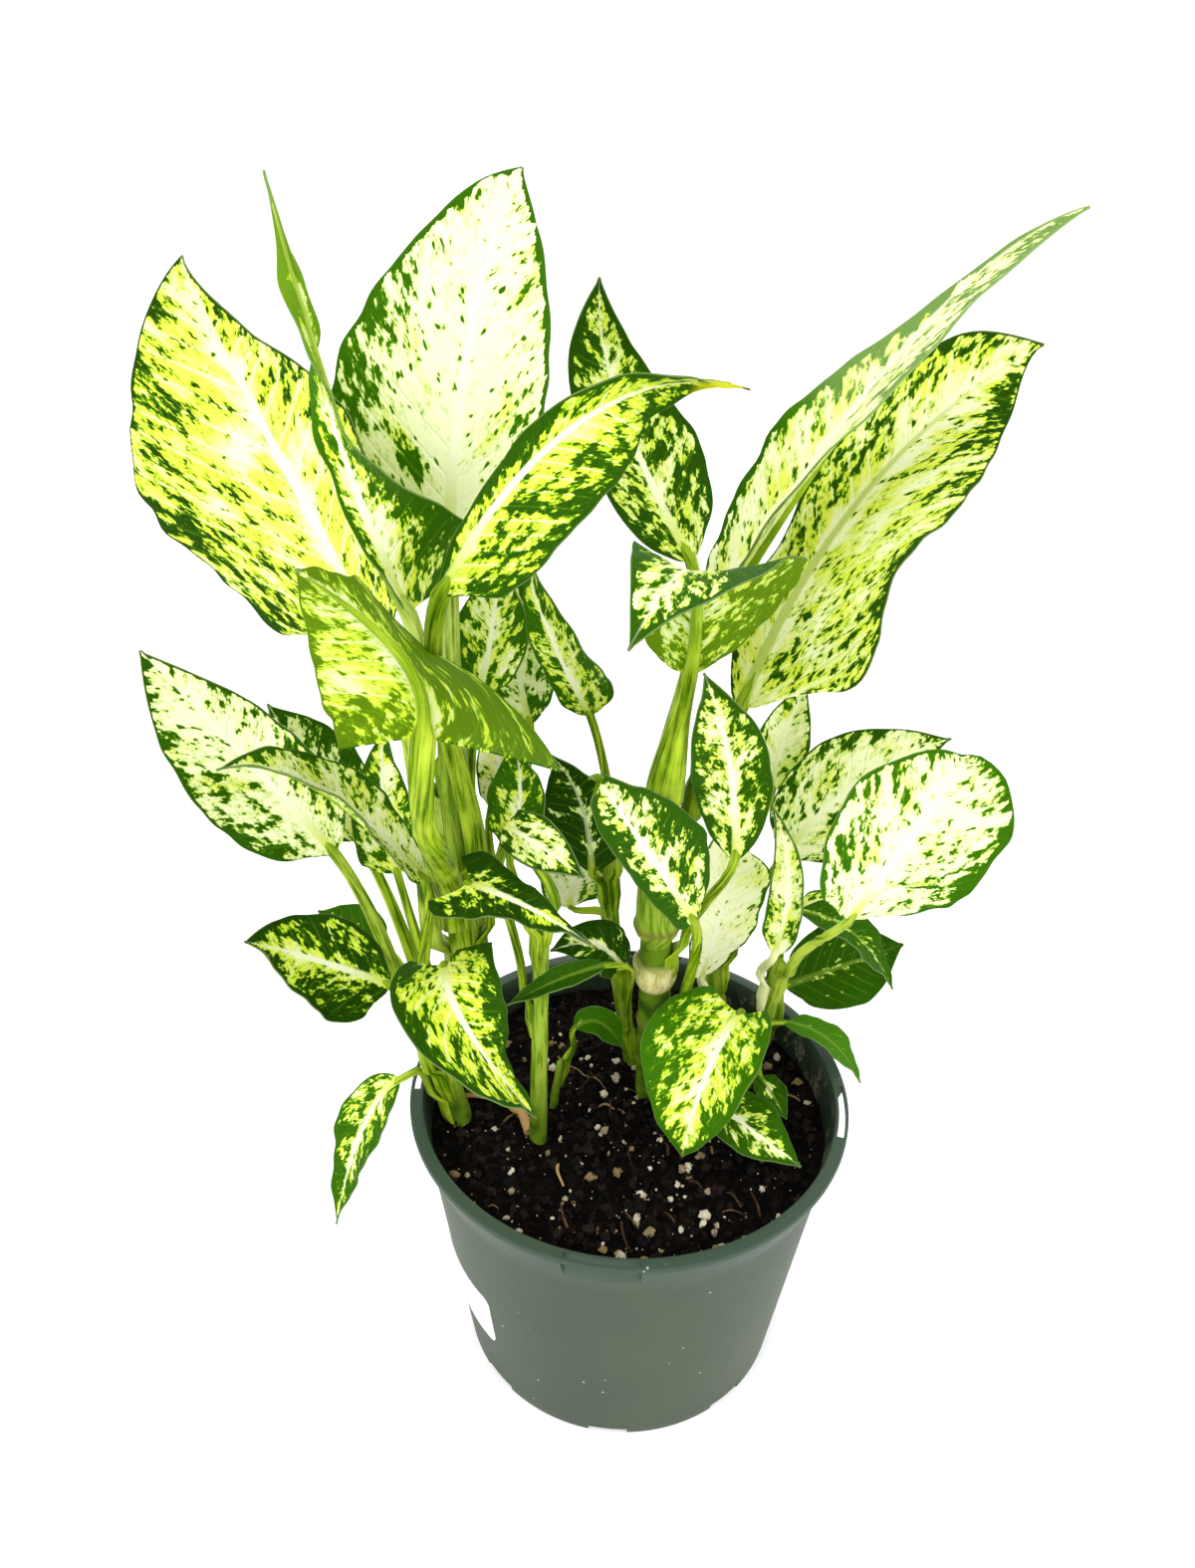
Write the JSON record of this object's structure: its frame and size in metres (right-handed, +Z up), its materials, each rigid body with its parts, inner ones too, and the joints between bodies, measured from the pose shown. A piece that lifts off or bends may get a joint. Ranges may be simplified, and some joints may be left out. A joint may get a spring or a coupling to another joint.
{
  "type": "potted dieffenbachia",
  "caption": "Bushy foliage plant with large cream and green mottled leaves on upright canes, growing in soil in a round tapered nursery pot.",
  "frame": {"origin": "centre of the pot's foot, on the plane that it stands on", "axes": "+Z up along the pot's axis; -Y is the side of the blank label's right-hand edge and of the leaves that droop over the soil; +X to the right seen from there"},
  "size_m": [0.2849, 0.165, 0.4352],
  "materials": {
    "pot_plastic": "satin moulded plastic",
    "potting_soil": "loose peat and perlite",
    "label_paper": "blank coated paper",
    "cane_skin": "smooth green cane",
    "leaf_skin": "waxy mottled leaf"
  },
  "bodies": {
    "root": {"pot": "pot_plastic", "soil": "potting_soil", "label": "label_paper", "cane_left": "cane_skin", "cane_left_low": "cane_skin", "cane_front": "cane_skin", "cane_middle": "cane_skin", "cane_right": "cane_skin", "cane_sprout": "cane_skin", "cane_front_right": "cane_skin", "cane_back": "cane_skin", "cane_far_right": "cane_skin", "leaf_far_left": "leaf_skin", "leaf_left_spear": "leaf_skin", "leaf_top_centre": "leaf_skin", "leaf_yellow_tip": "leaf_skin", "leaf_front_hood": "leaf_skin", "leaf_mid_back": "leaf_skin", "leaf_mid_pale": "leaf_skin", "leaf_low_left": "leaf_skin", "leaf_low_left_behind": "leaf_skin", "leaf_arching": "leaf_skin", "leaf_corner": "leaf_skin", "leaf_spotted_left": "leaf_skin", "leaf_behind_spotted": "leaf_skin", "leaf_heart_left": "leaf_skin", "leaf_over_rim": "leaf_skin", "leaf_drooping": "leaf_skin", "leaf_small_folded": "leaf_skin", "leaf_small_upright": "leaf_skin", "leaf_small_pale": "leaf_skin", "leaf_thin": "leaf_skin", "leaf_sprout": "leaf_skin", "leaf_dark_upright": "leaf_skin", "leaf_pale_back": "leaf_skin", "leaf_dark_small": "leaf_skin", "leaf_mid_centre": "leaf_skin", "leaf_folded_right": "leaf_skin", "leaf_big_right": "leaf_skin", "leaf_long_right": "leaf_skin", "leaf_back_right": "leaf_skin", "leaf_right_upright": "leaf_skin", "leaf_centre_right": "leaf_skin", "leaf_white_stalk": "leaf_skin", "leaf_behind_right": "leaf_skin", "leaf_far_right_back": "leaf_skin", "leaf_rolled": "leaf_skin", "leaf_round_right": "leaf_skin", "leaf_dark_right": "leaf_skin", "leaf_drooping_right": "leaf_skin", "leaf_curled_yellow": "leaf_skin", "leaf_heart_front": "leaf_skin", "leaf_low_front": "leaf_skin", "leaf_low_front_behind": "leaf_skin", "leaf_grey_rim": "leaf_skin"}
  },
  "joints": []
}
